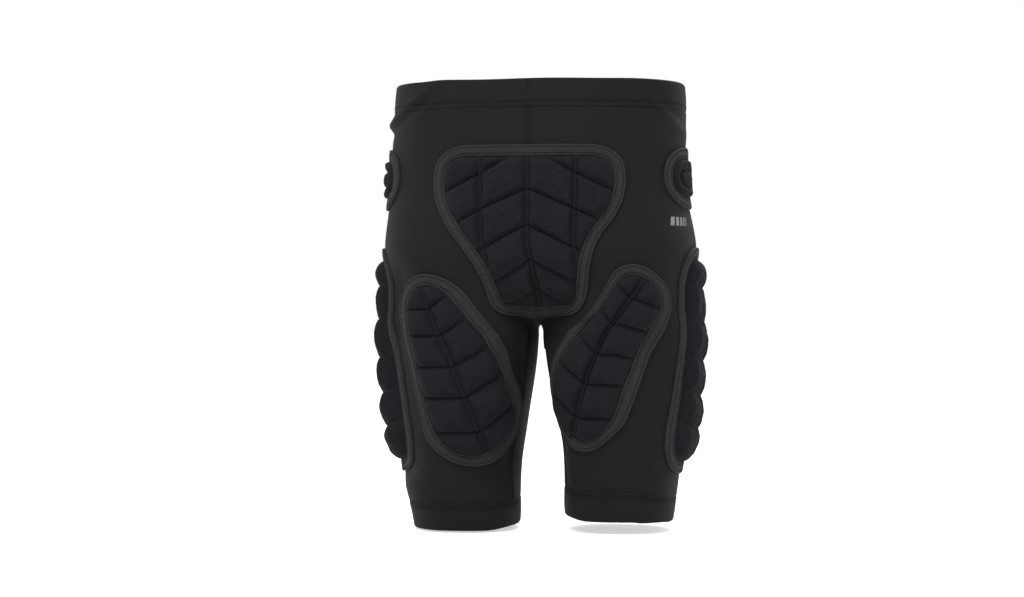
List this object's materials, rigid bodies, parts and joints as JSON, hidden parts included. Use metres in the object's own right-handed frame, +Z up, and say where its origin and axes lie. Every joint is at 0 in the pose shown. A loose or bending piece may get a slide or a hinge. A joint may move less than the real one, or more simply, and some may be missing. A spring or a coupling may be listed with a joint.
{
  "type": "padded impact shorts",
  "caption": "Close-fitting stretch shorts with grooved foam pads at the groin, seat, hips, sides and thighs, each bound by sewn tape, under a folded elastic waistband.",
  "frame": {"origin": "middle of the waist opening, level with the top of the waistband", "axes": "+Z up out of the waist, the front faces -Y, the wearer's left is +X"},
  "size_m": [0.3514, 0.2555, 0.467],
  "materials": {
    "shell_fabric": "matt stretch knit",
    "pad_fabric": "matt brushed laminate",
    "binding_tape": "matt ribbed tape",
    "foam": "closed-cell foam",
    "elastic_web": "woven elastic",
    "gripper": "silicone",
    "thread": "polyester thread",
    "mark_print": "heat-pressed film"
  },
  "bodies": {
    "root": {"waist_elastic": "elastic_web", "front_panel_left": "shell_fabric", "front_panel_right": "shell_fabric", "back_panel_left": "shell_fabric", "back_panel_right": "shell_fabric", "inner_gusset_left": "shell_fabric", "inner_gusset_right": "shell_fabric", "waistband_left": "shell_fabric", "waistband_right": "shell_fabric", "leg_hem_left": "shell_fabric", "leg_hem_right": "shell_fabric", "leg_gripper_left": "gripper", "leg_gripper_right": "gripper", "groin_pad_binding": "binding_tape", "seat_pad_binding": "binding_tape", "thigh_pad_binding_left": "binding_tape", "thigh_pad_binding_right": "binding_tape", "side_pad_binding_left": "binding_tape", "side_pad_binding_right": "binding_tape", "hip_pad_binding_left": "binding_tape", "hip_pad_binding_right": "binding_tape", "groin_pad_cover": "pad_fabric", "seat_pad_cover": "pad_fabric", "thigh_pad_cover_left": "pad_fabric", "thigh_pad_cover_right": "pad_fabric", "side_pad_cover_left": "pad_fabric", "side_pad_cover_right": "pad_fabric", "hip_pad_cover_left": "pad_fabric", "hip_pad_cover_right": "pad_fabric", "groin_pad_foam": "foam", "seat_pad_foam": "foam", "thigh_pad_foam_left": "foam", "thigh_pad_foam_right": "foam", "side_pad_foam_left": "foam", "side_pad_foam_right": "foam", "hip_pad_foam_left": "foam", "hip_pad_foam_right": "foam"}
  },
  "joints": []
}
